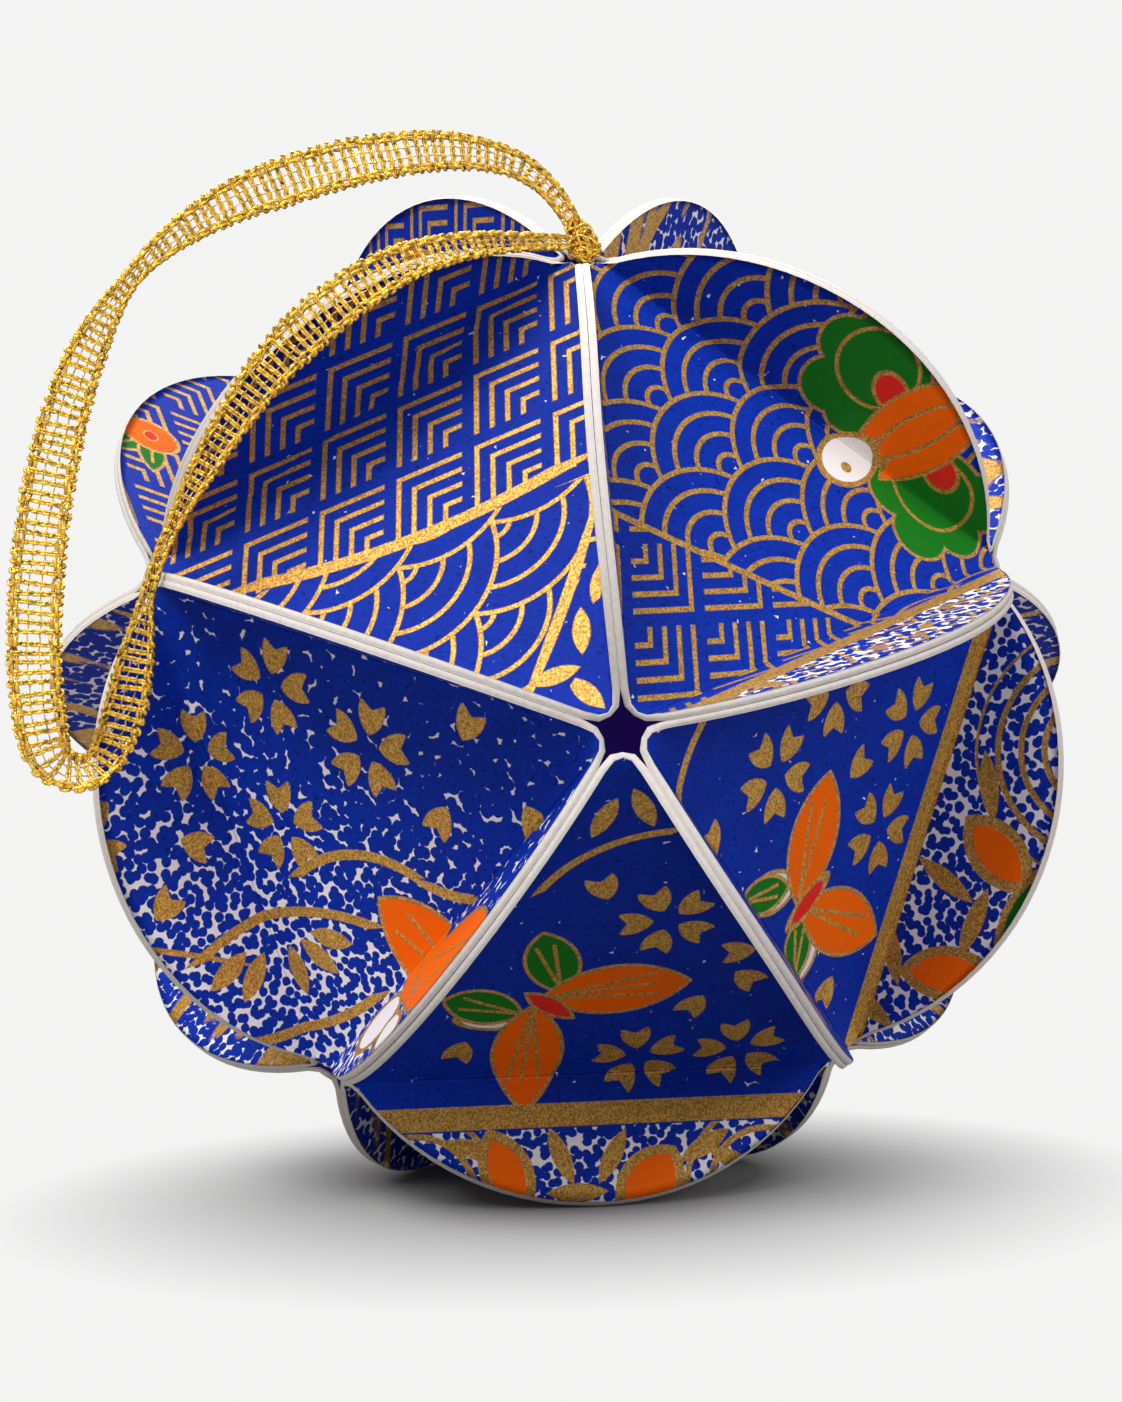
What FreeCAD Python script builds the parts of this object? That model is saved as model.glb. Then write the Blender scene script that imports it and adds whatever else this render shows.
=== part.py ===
import FreeCAD, Part
import itertools
import math
import os

# A ball of twenty folded card discs that stands on the floor, with a hanging loop of flat mesh ribbon.
# Millimetres. +Z is up, the origin is on the floor under the ball's centre, and the front faces -Y.
# Each disc is folded on three chords. The triangle inside the chords is one face of an icosahedron,
# and its three flaps stand outward, glued back to back with the flaps of the neighbouring discs.

GOLDEN = (1 + math.sqrt(5)) / 2
HALF_DIHEDRAL = math.degrees(math.atan(GOLDEN ** 2))

# Driving dimensions

SIZES = [
    ("disc_radius", 25.4, "radius of the punched card discs"),
    ("corner_gap", 1.8, "from a corner point of the ball to the rims of the discs round it"),
    ("card_thickness", 0.6, "card with its printed paper"),
    ("lean_top_spoke", -9, "degrees that a glued pair of flaps leans, right-handed along its seam"),
    ("lean_right_spoke", 8, ""),
    ("lean_lower_right_spoke", 6, ""),
    ("lean_left_spoke", 4, ""),
    ("lean_upper_right_rim", 12, ""),
    ("lean_upper_left_rim", 16, ""),
    ("lean_right_rim", 11, ""),
    ("ribbon_thickness", 0.4, "of the flat mesh ribbon"),
    ("ribbon_width", 4.8, "where it lies flat"),
    ("curled_width", 3.4, "where it curls or folds over"),
    ("gathered_width", 1.6, "where it is drawn together"),
    ("knot_radius", 1.9, "of the gathered knot outside the corner hole"),
    ("knot_clearance", 0.25, "from the knot and its tail to the cards round them"),
    ("tail_length", 6, "from the middle of the knot in through the hole"),
]

doc = FreeCAD.newDocument("paper_ball")
sheet = doc.addObject("Spreadsheet::Sheet", "Sizes")
for row, (alias, value, meaning) in enumerate(SIZES, start=1):
    sheet.set(f"A{row}", alias)
    sheet.set(f"B{row}", str(value))
    sheet.setAlias(f"B{row}", alias)
    sheet.set(f"C{row}", meaning)
doc.recompute()

# From the middle of a disc to its folds, from the ball's centre to a face, and up to the centre
FOLD = "(Sizes.disc_radius + Sizes.corner_gap) / 2"
INRADIUS = f"{GOLDEN ** 2} * {FOLD}"
FLAP_RISE = f"(Sizes.disc_radius - {FOLD}) * sin({HALF_DIHEDRAL})"
CENTRE_HEIGHT = f"{INRADIUS} + {FLAP_RISE} + Sizes.card_thickness * cos({HALF_DIHEDRAL})"


def bind(thing, **sizes):
    """Ties properties of an object to the sheet; two underscores stand for a dot."""
    for name, expression in sizes.items():
        thing.setExpression(name.replace("__", "."), expression)


# Corners of the icosahedron in units of the fold distance, with one face level at the bottom

def ring(names, first_azimuth, radius, height):
    places = {}
    for step, name in enumerate(names):
        angle = math.radians(first_azimuth + 120 * step)
        places[name] = FreeCAD.Vector(radius * math.cos(angle), radius * math.sin(angle), height)
    return places


CORNERS = {
    **ring(["upper_front", "upper_right", "upper_left"], -90, 2, GOLDEN ** 2),
    **ring(["high_right", "high_back", "high_left"], -30, 2 * GOLDEN, 1 / GOLDEN),
    **ring(["low_front", "low_right", "low_left"], -90, 2 * GOLDEN, -1 / GOLDEN),
    **ring(["bottom_right", "bottom_back", "bottom_left"], -30, 2, -GOLDEN ** 2),
}
SIDE = 2 * math.sqrt(3)

# Seams whose flaps were glued on a slant, each from its first corner to its second
LEANS = {
    ("low_front", "upper_front"): "lean_top_spoke",
    ("low_front", "high_right"): "lean_right_spoke",
    ("low_front", "bottom_right"): "lean_lower_right_spoke",
    ("low_front", "high_left"): "lean_left_spoke",
    ("upper_front", "high_right"): "lean_upper_right_rim",
    ("high_left", "upper_front"): "lean_upper_left_rim",
    ("high_right", "bottom_right"): "lean_right_rim",
}


def faces():
    """The twenty faces, each as three corner names that run anticlockwise seen from outside."""
    found = []
    for trio in itertools.combinations(CORNERS, 3):
        a, b, c = (CORNERS[name] for name in trio)
        if max((a - b).Length, (b - c).Length, (c - a).Length) > 1.01 * SIDE:
            continue
        outward = (b - a).cross(c - a).dot(a + b + c) > 0
        found.append(trio if outward else (trio[0], trio[2], trio[1]))
    return found


# Blanks that every disc shares: the flat triangle, and a flap that stands on its fold line

def triangle_blank():
    whole = doc.addObject("Part::Cylinder", "TriangleDisc")
    bind(whole, Radius="Sizes.disc_radius", Height="Sizes.card_thickness")
    inside_folds = doc.addObject("Part::Prism", "InsideFolds")
    inside_folds.Polygon = 3
    bind(inside_folds, Circumradius=f"2 * {FOLD}", Height="Sizes.card_thickness")
    blank = doc.addObject("Part::Common", "TriangleBlank")
    blank.Base = whole
    blank.Tool = inside_folds
    return blank


def flap_blank():
    whole = doc.addObject("Part::Cylinder", "FlapDisc")
    bind(whole, Radius="Sizes.disc_radius", Height="Sizes.card_thickness",
         Placement__Base__y=f"-{FOLD}")
    past_fold = doc.addObject("Part::Box", "PastFold")
    bind(past_fold, Length="2 * Sizes.disc_radius", Width="Sizes.disc_radius",
         Height="Sizes.card_thickness", Placement__Base__x="-Sizes.disc_radius")
    blank = doc.addObject("Part::Common", "FlapBlank")
    blank.Base = whole
    blank.Tool = past_fold
    return blank


def seam_lean(first, second, away):
    """How far this disc's flap leans outward from the even position, as an expression."""
    for (start, end), alias in LEANS.items():
        if {start, end} == {first, second}:
            along = CORNERS[end] - CORNERS[start]
            middle = CORNERS[end] + CORNERS[start]
            sign = 1 if along.cross(middle).dot(away) > 0 else -1
            return f"{sign} * Sizes.{alias}"
    return "0"


def folded_disc(name, corners):
    """One disc in the frame of the ball's centre: its triangle level on top, then turned to its face."""
    a, b, c = (CORNERS[corner] for corner in corners)
    centre = (a + b + c) / 3
    turn = FreeCAD.Rotation(a - centre, FreeCAD.Vector(), centre, "ZXY")
    triangle = doc.addObject("App::Link", f"{name}_triangle")
    triangle.LinkedObject = TRIANGLE
    bind(triangle, Placement__Base__z=INRADIUS)
    pieces = [triangle]
    for side in range(3):
        first, second = corners[side], corners[(side + 1) % 3]
        azimuth = 60 + 120 * side
        away = (CORNERS[first] + CORNERS[second]) / 2 - centre
        lean = seam_lean(first, second, away)
        fold_x = f"{FOLD} * cos({azimuth})"
        fold_y = f"{FOLD} * sin({azimuth})"
        flap = doc.addObject("App::Link", f"{name}_flap_{side + 1}")
        flap.LinkedObject = FLAP
        bind(flap, Placement=f"create(<<placement>>; vector({fold_x}; {fold_y}; {INRADIUS}); "
                             f"rotationz({azimuth - 90}) * rotationx({HALF_DIHEDRAL} - {lean}))")
        pieces.append(flap)
    disc = doc.addObject("Part::MultiFuse", name)
    disc.Label = name
    disc.Shapes = pieces
    disc.Placement = FreeCAD.Placement(FreeCAD.Vector(), turn)
    bind(disc, Placement__Base__z=CENTRE_HEIGHT)
    return disc


# Rings of discs from the top down: name, and the height of the face's middle over its distance
RINGS = [("top", 1), ("upper", 0.745), ("shoulder", 0.333), ("waist", -0.333), ("lower", -0.745), ("bottom", -1)]


def name_discs():
    """Names each face by its ring, counted from the front round by the right."""
    rings = {name: [] for name, level in RINGS}
    for corners in faces():
        middle = CORNERS[corners[0]] + CORNERS[corners[1]] + CORNERS[corners[2]]
        level = middle.z / middle.Length
        nearest = min(RINGS, key=lambda entry: abs(entry[1] - level))[0]
        azimuth = (math.degrees(math.atan2(middle.y, middle.x)) + 90.001) % 360
        rings[nearest].append((azimuth, corners))
    named = {}
    for ring_name, members in rings.items():
        for count, (azimuth, corners) in enumerate(sorted(members), start=1):
            alone = len(members) == 1
            named[f"disc_{ring_name}" if alone else f"disc_{ring_name}_{count}"] = corners
    return named


# The knot outside the hole at the upper front corner, with its tail through the hole

RIBBON_CORNER = CORNERS["upper_front"]
OUTWARD = RIBBON_CORNER / RIBBON_CORNER.Length
FACE_SLOPE = math.acos(RIBBON_CORNER.Length / 2 - GOLDEN ** 4 / RIBBON_CORNER.Length / 2)
RIM_INWARD = f"Sizes.corner_gap * {math.cos(FACE_SLOPE)} - Sizes.card_thickness * {math.sin(FACE_SLOPE)}"
RIM_REACH = f"(Sizes.corner_gap * {math.sin(FACE_SLOPE)} + Sizes.card_thickness * {math.cos(FACE_SLOPE)})"
KNOT_REACH = "(Sizes.knot_radius + Sizes.knot_clearance)"
KNOT_OUT = f"sqrt(max(pow({KNOT_REACH}; 2) - pow({RIM_REACH}; 2); 0)) - ({RIM_INWARD})"
TAIL_RADIUS = f"Sizes.corner_gap * {math.sin(FACE_SLOPE)} - Sizes.knot_clearance"


def ribbon_knot():
    gather = doc.addObject("Part::Sphere", "Gather")
    bind(gather, Radius="Sizes.knot_radius")
    tail = doc.addObject("Part::Cylinder", "Tail")
    bind(tail, Radius=TAIL_RADIUS, Height="Sizes.tail_length", Placement__Base__z="-Sizes.tail_length")
    knot = doc.addObject("Part::MultiFuse", "ribbon_knot")
    knot.Label = "ribbon_knot"
    knot.Shapes = [gather, tail]
    turn = FreeCAD.Rotation(FreeCAD.Vector(0, 0, 1), OUTWARD)
    out = f"({RIBBON_CORNER.Length} * {FOLD} + {KNOT_OUT})"
    bind(knot, Placement=f"create(<<placement>>; vector(0; {OUTWARD.y} * {out}; {OUTWARD.z} * {out}"
                         f" + {CENTRE_HEIGHT}); rotationx({math.degrees(turn.Angle) * turn.Axis.x}))")
    return knot


# The ribbon's middle line, out of the knot, down the front left and back along the rim of a flap:
# places in millimetres from the corner point, and the name of the ribbon's width there

RIBBON_ROUTE = [
    (-0.7, -0.7, 2.0, "gathered_width"),
    (-2.0, -1.5, 4.2, "gathered_width"),
    (-5.2, -2.9, 6.4, "curled_width"),
    (-10.4, -4.6, 6.9, "ribbon_width"),
    (-17.0, -6.1, 5.6, "ribbon_width"),
    (-23.8, -7.2, 3.2, "ribbon_width"),
    (-30.2, -8.3, 0.0, "curled_width"),
    (-36.0, -9.2, -4.8, "curled_width"),
    (-40.0, -9.4, -11.4, "ribbon_width"),
    (-42.6, -9.0, -19.4, "ribbon_width"),
    (-44.2, -7.9, -28.0, "ribbon_width"),
    (-44.8, -6.5, -35.6, "ribbon_width"),
    (-44.6, -5.2, -40.6, "ribbon_width"),
    (-43.9, -3.9, -44.6, "curled_width"),
    (-40.4, -2.2, -44.9, "curled_width"),
    (-38.9, -1.2, -40.5, "ribbon_width"),
    (-37.8, -1.4, -35.0, "curled_width"),
    (-37.0, -2.2, -29.6, "gathered_width"),
    (-34.4, -3.4, -24.5, "curled_width"),
    (-30.6, -6.0, -18.8, "ribbon_width"),
    (-26.4, -8.2, -13.4, "ribbon_width"),
    (-21.5, -9.0, -8.7, "ribbon_width"),
    (-15.8, -9.2, -4.8, "ribbon_width"),
    (-9.8, -6.8, -2.3, "ribbon_width"),
    (-4.6, -3.9, -0.9, "curled_width"),
    (-1.2, -1.3, 0.1, "gathered_width"),
]
ARC_REACH = 0.45
ARC_STEPS = 2
TOWARDS_VIEWER = FreeCAD.Vector(0, -1, 0)


def ribbon_stations():
    """Points along the middle line, which is straight runs joined by tangent arcs, with its directions."""
    scale = sheet.get("disc_radius") + sheet.get("corner_gap")
    corner = RIBBON_CORNER * scale / 2 + FreeCAD.Vector(0, 0, CENTRE_LEVEL)
    points = [corner + FreeCAD.Vector(*row[:3]) for row in RIBBON_ROUTE]
    widths = [sheet.get(row[3]) for row in RIBBON_ROUTE]
    stations = [(points[0], (points[1] - points[0]).normalize(), widths[0])]
    radii = []
    for before, point, after, width in zip(points, points[1:], points[2:], widths[1:]):
        arriving = point - before
        leaving = after - point
        reach = ARC_REACH * min(arriving.Length, leaving.Length)
        arriving.normalize()
        leaving.normalize()
        radii.append(reach / math.tan(arriving.getAngle(leaving) / 2))
        centre_way = (leaving - arriving).normalize()
        centre = point + centre_way * math.hypot(reach, radii[-1])
        arc = Part.Arc(point - arriving * reach, centre - centre_way * radii[-1], point + leaving * reach)
        for step in range(ARC_STEPS + 1):
            place = arc.FirstParameter + (arc.LastParameter - arc.FirstParameter) * step / ARC_STEPS
            stations.append((arc.value(place), FreeCAD.Vector(*arc.tangent(place)[0]), width))
    stations.append((points[-1], (points[-1] - points[-2]).normalize(), widths[-1]))
    print("ribbon radii", [round(radius, 1) for radius in radii])
    return stations


def ribbon_band():
    """The flat ribbon as a ruled solid through its cross sections, its broad side towards the front."""
    half_thick = sheet.get("ribbon_thickness") / 2
    sections = []
    expected = 0
    stations = ribbon_stations()
    for place, along, width in stations:
        across = along.cross(TOWARDS_VIEWER).normalize() * (width / 2)
        face = across.cross(along).normalize() * half_thick
        corners = [place - across - face, place + across - face, place + across + face, place - across + face]
        sections.append(Part.makePolygon(corners + corners[:1]))
    for (start, _, wide), (end, _, wide_after) in zip(stations, stations[1:]):
        expected += (end - start).Length * half_thick * (wide + wide_after)
    band = doc.addObject("Part::Feature", "RibbonBand")
    band.Shape = Part.makeLoft(sections, True, True)
    print("ribbon band volume", round(band.Shape.Volume, 1), "section times length", round(expected, 1))
    return band


def ribbon_loop(knot):
    """The band with its two ends cut to meet the knot."""
    loop = doc.addObject("Part::Cut", "ribbon_loop")
    loop.Label = "ribbon_loop"
    loop.Base = ribbon_band()
    loop.Tool = knot
    return loop


TRIANGLE = triangle_blank()
FLAP = flap_blank()
parts = [folded_disc(name, corners) for name, corners in name_discs().items()]
knot = ribbon_knot()
doc.recompute()
CENTRE_LEVEL = parts[0].Placement.Base.z
parts += [knot, ribbon_loop(knot)]

doc.recompute()
for thing in doc.Objects:
    if "Invalid" in thing.State or "Error" in thing.State:
        raise RuntimeError(f"{thing.Name} failed: {thing.State}")
os.makedirs("parts", exist_ok=True)
for piece in parts:
    if piece.Shape.isNull() or not piece.Shape.isValid():
        raise RuntimeError(f"{piece.Label} has no valid shape")
for piece in parts:
    piece.Shape.exportStep(f"parts/{piece.Label}.step")
print(len(parts), "parts, volume", round(sum(piece.Shape.Volume for piece in parts), 1))
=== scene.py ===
import math
import random

import bpy
import numpy as np
from mathutils import Matrix, Vector


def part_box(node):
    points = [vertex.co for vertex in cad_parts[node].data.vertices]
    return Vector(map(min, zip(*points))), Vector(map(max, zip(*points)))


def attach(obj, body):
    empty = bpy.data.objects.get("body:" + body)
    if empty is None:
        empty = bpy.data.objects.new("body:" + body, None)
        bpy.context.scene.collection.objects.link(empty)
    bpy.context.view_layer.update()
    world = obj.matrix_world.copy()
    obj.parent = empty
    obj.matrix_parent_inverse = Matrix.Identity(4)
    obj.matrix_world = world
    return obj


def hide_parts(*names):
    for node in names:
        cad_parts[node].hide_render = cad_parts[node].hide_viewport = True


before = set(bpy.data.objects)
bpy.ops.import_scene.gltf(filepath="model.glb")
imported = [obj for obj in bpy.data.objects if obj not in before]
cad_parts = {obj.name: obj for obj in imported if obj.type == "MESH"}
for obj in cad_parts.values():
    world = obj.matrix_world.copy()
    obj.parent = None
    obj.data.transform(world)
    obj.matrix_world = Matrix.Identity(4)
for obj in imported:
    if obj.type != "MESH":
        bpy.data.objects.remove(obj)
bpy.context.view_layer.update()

# The paper ball's sizes in millimetres, as the solids have them
MM = 0.001
GOLDEN = (1 + math.sqrt(5)) / 2
DISC_RADIUS = 25.4
CORNER_GAP = 1.8
CARD = 0.6
FOLD = (DISC_RADIUS + CORNER_GAP) / 2
INRADIUS = GOLDEN**2 * FOLD
FACE_TILT = math.atan(GOLDEN**2)
SEAM_LEAN = math.pi / 2 - FACE_TILT
CENTRE_HEIGHT = INRADIUS + (DISC_RADIUS - FOLD) * math.sin(FACE_TILT) + CARD * math.cos(FACE_TILT)
CENTRE = np.array([0, 0, CENTRE_HEIGHT])

# Where the camera is, in millimetres, its right hand way and the way from the ball back to it
CAMERA_PLACE = (-16.49, -165.38, 26.02)
CAMERA_RIGHT = (0.9951, -0.0936, -0.0307)
CAMERA_BACK = (-0.0966, -0.9879, -0.1213)
LENS = 42.85

# How each card is meshed
FOLD_ROUNDING = 0.8
RIM_BEVEL = 0.1
INNER_LOSS = 2 * CARD * math.tan(math.pi / 4 - SEAM_LEAN / 2)
FLAP_MIDDLES = [math.radians(60 + 120 * side) for side in range(3)]
COLUMNS = 30
BASE_RINGS = [0.16, 0.32, 0.48, 0.63, 0.77, 0.87, 0.94, 0.955, 0.97, 0.985, 1.0]
FLAP_ROWS = [0.02, 0.045, 0.07, 0.12, 0.22, 0.35, 0.5, 0.65, 0.8, 0.92, 1.0]


def ring(names, azimuth, radius, height):
    """Three named corners of the ball, evenly round its axis."""
    corners = {}
    for place, name in enumerate(names):
        turn = math.radians(azimuth + 120 * place)
        corners[name] = np.array([radius * math.cos(turn), radius * math.sin(turn), height]) * FOLD
    return corners


CORNERS = {
    **ring(["upper_front", "upper_right", "upper_left"], -90, 2, GOLDEN**2),
    **ring(["high_right", "high_back", "high_left"], -30, 2 * GOLDEN, 1 / GOLDEN),
    **ring(["low_front", "low_right", "low_left"], -90, 2 * GOLDEN, -1 / GOLDEN),
    **ring(["bottom_right", "bottom_back", "bottom_left"], -30, 2, -(GOLDEN**2)),
}
# How far each glued pair leans from even, in degrees
LEANS = {
    ("low_front", "upper_front"): -9,
    ("low_front", "high_right"): 8,
    ("low_front", "bottom_right"): 6,
    ("low_front", "high_left"): 4,
    ("upper_front", "high_right"): 12,
    ("high_left", "upper_front"): 16,
    ("high_right", "bottom_right"): 11,
}
# Each ring of discs, and how far up its discs face
RINGS = [
    ("top", 1),
    ("upper", 0.745),
    ("shoulder", 0.333),
    ("waist", -0.333),
    ("lower", -0.745),
    ("bottom", -1),
]


def name_discs():
    """Each disc's name and its three corners in turn, seen from outside."""
    names = list(CORNERS)
    rings = {name: [] for name, _ in RINGS}
    longest = 1.01 * 2 * math.sqrt(3) * FOLD
    for first in range(12):
        for second in range(first + 1, 12):
            for third in range(second + 1, 12):
                trio = (names[first], names[second], names[third])
                a, b, c = (CORNERS[name] for name in trio)
                if max(np.linalg.norm(a - b), np.linalg.norm(b - c), np.linalg.norm(c - a)) > longest:
                    continue
                if np.cross(b - a, c - a) @ (a + b + c) < 0:
                    trio = (trio[0], trio[2], trio[1])
                middle = a + b + c
                height = middle[2] / np.linalg.norm(middle)
                near = min(RINGS, key=lambda entry: abs(entry[1] - height))[0]
                azimuth = (math.degrees(math.atan2(middle[1], middle[0])) + 90.001) % 360
                rings[near].append((azimuth, trio))
    discs = {}
    for name, members in rings.items():
        for place, (_, trio) in enumerate(sorted(members), start=1):
            discs[f"disc_{name}" if len(members) == 1 else f"disc_{name}_{place}"] = trio
    return discs


DISCS = name_discs()


# The flat card as a mesh: rings out to the folds, then a column of rows on each flap
def flat_card():
    """Points of the flat disc, its faces, and its rim in order."""
    reach = math.acos(FOLD / DISC_RADIUS)
    inner = DISC_RADIUS - RIM_BEVEL
    points = [(0.0, 0.0)]
    faces = []
    rays = []
    for middle in FLAP_MIDDLES:
        for column in range(COLUMNS + 1):
            swing = reach * (2 * column / COLUMNS - 1)
            turn = math.atan2(DISC_RADIUS * math.sin(swing), FOLD)
            rays.append((middle + turn, FOLD / math.cos(turn), swing))
        rays.append((middle + math.radians(60), DISC_RADIUS, 0))
    ring_start = []
    for share in BASE_RINGS:
        ring_start.append(len(points))
        for turn, length, _ in rays:
            length = min(length, inner) * share
            points.append((length * math.cos(turn), length * math.sin(turn)))
    count = len(rays)
    for place in range(count):
        after = (place + 1) % count
        faces.append((0, ring_start[0] + place, ring_start[0] + after))
        for low, high in zip(ring_start, ring_start[1:]):
            faces.append((low + place, high + place, high + after, low + after))
    last = ring_start[-1]
    rim = []
    for side, middle in enumerate(FLAP_MIDDLES):
        out = (math.cos(middle), math.sin(middle))
        first_ray = side * (COLUMNS + 2)
        columns = []
        for column in range(COLUMNS + 1):
            foot = last + first_ray + column
            if column in (0, COLUMNS):
                columns.append([foot])
                continue
            swing = rays[first_ray + column][2]
            across = DISC_RADIUS * math.sin(swing)
            height = math.sqrt(inner**2 - across**2) - FOLD
            rows = [foot]
            for share in FLAP_ROWS:
                away = FOLD + share * height
                rows.append(len(points))
                points.append((away * out[0] - across * out[1], away * out[1] + across * out[0]))
            columns.append(rows)
        for left, right in zip(columns, columns[1:]):
            for row in range(len(FLAP_ROWS)):
                if len(left) == 1:
                    faces.append((left[0], right[row], right[row + 1]))
                elif len(right) == 1:
                    faces.append((left[row], right[0], left[row + 1]))
                else:
                    faces.append((left[row], right[row], right[row + 1], left[row + 1]))
        rim += [rows[-1] for rows in columns]
        rim.append(last + first_ray + COLUMNS + 1)
    return np.array(points), faces, rim


def lean_of(first, second, away):
    """How far the seam between two corners leans, in radians, towards the given side."""
    for (start, end), degrees in LEANS.items():
        if {start, end} == {first, second}:
            along = CORNERS[end] - CORNERS[start]
            middle = CORNERS[end] + CORNERS[start]
            return math.radians(degrees) * (1 if np.cross(along, middle) @ away > 0 else -1)
    return 0


SEAM_WARPS = {}


def seam_warp(first, second):
    """The small bend of a glued pair of flaps: its numbers are the same for both cards."""
    key = tuple(sorted((first, second)))
    if key not in SEAM_WARPS:
        draw = random.Random("-".join(key))
        SEAM_WARPS[key] = (draw.uniform(-0.22, 0.22), draw.uniform(-0.3, 0.3), draw.uniform(-0.12, 0.12))
    return key, SEAM_WARPS[key]


def fold_card(name, flat, height):
    """Places in millimetres of points of the flat disc once it is folded."""
    trio = DISCS[name]
    corners = [CORNERS[corner] for corner in trio]
    centre = sum(corners) / 3
    up = centre / np.linalg.norm(centre)
    along = (corners[0] - centre) / np.linalg.norm(corners[0] - centre)
    across = np.cross(up, along)
    u, v = flat[:, 0], flat[:, 1]
    x, y, z = u.copy(), v.copy(), height.copy()
    draw = random.Random(name)
    warp = np.zeros((len(u), 3))
    for side, turn in enumerate(FLAP_MIDDLES):
        ox, oy = math.cos(turn), math.sin(turn)
        first, second = trio[side], trio[(side + 1) % 3]
        away = (CORNERS[first] + CORNERS[second]) / 2 - centre
        lean = SEAM_LEAN + lean_of(first, second, away)
        out = u * ox + v * oy - FOLD
        sine, cosine = math.sin(lean), math.cos(lean)
        share = np.clip((out + FOLD_ROUNDING) / (2 * FOLD_ROUNDING), 0, 1)
        start = (1 - share) ** 2
        middle = 2 * share * (1 - share)
        end = share**2
        inset = height * math.tan(math.pi / 4 - lean / 2)
        end_out = FOLD_ROUNDING * sine - height * cosine
        end_up = FOLD_ROUNDING * cosine + height * sine
        round_out = -start * FOLD_ROUNDING - middle * inset + end * end_out
        round_up = (start + middle) * height + end * end_up
        flat_out = np.where(out > FOLD_ROUNDING, out * sine - height * cosine, round_out)
        flat_up = np.where(out > FOLD_ROUNDING, out * cosine + height * sine, round_up)
        on_base = out < -FOLD_ROUNDING
        flat_out = np.where(on_base, out, flat_out)
        flat_up = np.where(on_base, height, flat_up)
        x += (flat_out - out) * ox
        y += (flat_out - out) * oy
        z += flat_up - height
        # The shared bend of the pair, and the card's own small gap from its neighbour
        key, (bend, twist, sway) = seam_warp(first, second)
        line = CORNERS[key[1]] - CORNERS[key[0]]
        line /= np.linalg.norm(line)
        seam_middle = (CORNERS[key[0]] + CORNERS[key[1]]) / 2
        normal = np.cross(line, seam_middle / np.linalg.norm(seam_middle))
        side_way = -u * oy + v * ox
        if np.dot(across * ox - along * oy, line) < 0:
            side_way = -side_way
        rise = np.clip(out, 0, None) / (DISC_RADIUS - FOLD)
        length_way = side_way / DISC_RADIUS
        amount = rise**2 * (bend + twist * length_way + sway * np.sin(5 * length_way))
        own = 1 if normal @ away < 0 else -1
        gap = draw.uniform(0.01, 0.04)
        wander = draw.uniform(-0.02, 0.02)
        amount = amount + own * (gap * rise**1.5 + wander * rise * length_way)
        warp += amount[:, None] * normal
    local = np.stack([x, y, z + INRADIUS], 1)
    return local @ np.stack([along, across, up]) + warp + CENTRE


FLAT, FLAT_FACES, RIM = flat_card()


def disc_mesh(name, turn, shift):
    """One card: printed side, cut edge and back. turn and shift say which part of the print it has."""
    count = len(FLAT)
    rim_out = FLAT[RIM] / np.linalg.norm(FLAT[RIM], axis=1)[:, None] * DISC_RADIUS
    flat = np.concatenate([FLAT, FLAT, rim_out, rim_out])
    height = np.concatenate(
        [
            np.full(count, CARD),
            np.zeros(count),
            np.full(len(RIM), CARD - RIM_BEVEL),
            np.full(len(RIM), RIM_BEVEL),
        ]
    )
    places = fold_card(name, flat, height) * MM
    faces = list(FLAT_FACES)
    kinds = [0] * len(faces)
    faces += [tuple(corner + count for corner in reversed(face)) for face in FLAT_FACES]
    kinds += [2] * len(FLAT_FACES)
    high, low = 2 * count, 2 * count + len(RIM)
    for place in range(len(RIM)):
        after = (place + 1) % len(RIM)
        faces.append((RIM[place], high + place, high + after, RIM[after]))
        faces.append((high + place, low + place, low + after, high + after))
        faces.append((low + place, RIM[place] + count, RIM[after] + count, low + after))
        kinds += [1, 1, 1]
    mesh = bpy.data.meshes.new(name + "_card")
    mesh.from_pydata([tuple(place) for place in places], [], faces)
    mesh.polygons.foreach_set("material_index", kinds)
    mesh.polygons.foreach_set("use_smooth", [True] * len(faces))
    # The print follows the printed surface, which is shorter round the inside of a fold
    inked = flat.copy()
    for middle in FLAP_MIDDLES:
        way = np.array([math.cos(middle), math.sin(middle)])
        share = np.clip((flat @ way - FOLD + FOLD_ROUNDING) / (2 * FOLD_ROUNDING), 0, 1)
        inked -= (INNER_LOSS * share**2 * (3 - 2 * share))[:, None] * way
    sine, cosine = math.sin(math.radians(turn)), math.cos(math.radians(turn))
    print_u = cosine * inked[:, 0] - sine * inked[:, 1] + shift[0]
    print_v = sine * inked[:, 0] + cosine * inked[:, 1] + shift[1]
    card = mesh.attributes.new("card", "FLOAT_VECTOR", "POINT")
    card.data.foreach_set("vector", np.stack([print_u, print_v, height], 1).astype(np.float32).ravel())
    mesh.update()
    return mesh


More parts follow.
